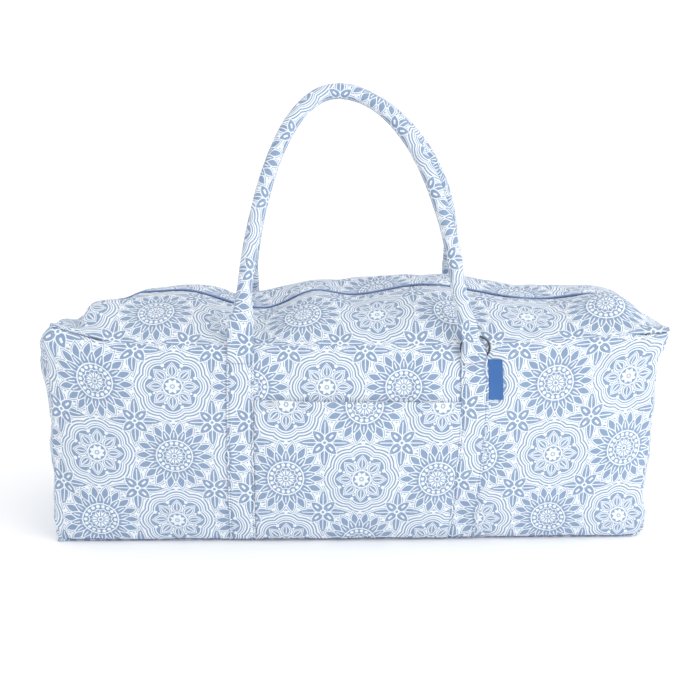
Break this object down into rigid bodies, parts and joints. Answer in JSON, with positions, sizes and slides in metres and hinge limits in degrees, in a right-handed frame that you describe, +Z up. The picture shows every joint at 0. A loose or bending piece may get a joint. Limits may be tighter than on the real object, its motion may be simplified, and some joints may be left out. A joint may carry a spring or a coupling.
{
  "type": "yoga kit bag",
  "caption": "Soft cotton holdall for a yoga mat in a blue and white medallion print, with rolled handles, a zip top, a front patch pocket, a steel ring and a bare blue side tag.",
  "frame": {"origin": "middle of the base, on the floor", "axes": "+Z up, +X along the bag to the right as seen from the front, the pocket faces -Y"},
  "size_m": [0.6904, 0.2668, 0.5005],
  "materials": {
    "printed_canvas": "matte woven cotton, blue print on white",
    "zip_tape": "matte woven tape with blue nylon teeth",
    "tag_weave": "satin woven ribbon",
    "ring_steel": "dark nickel-plated, satin"
  },
  "bodies": {
    "root": {"front_panel": "printed_canvas", "back_panel": "printed_canvas", "base_panel": "printed_canvas", "left_end_panel": "printed_canvas", "right_end_panel": "printed_canvas", "top_front_panel": "printed_canvas", "top_back_panel": "printed_canvas", "zip": "zip_tape", "zip_slider": "ring_steel", "front_strap_left": "printed_canvas", "front_strap_right": "printed_canvas", "back_strap_left": "printed_canvas", "back_strap_right": "printed_canvas", "front_handle": "printed_canvas", "back_handle": "printed_canvas", "front_pocket": "printed_canvas", "d_ring": "ring_steel", "label_tag": "tag_weave"}
  },
  "joints": []
}
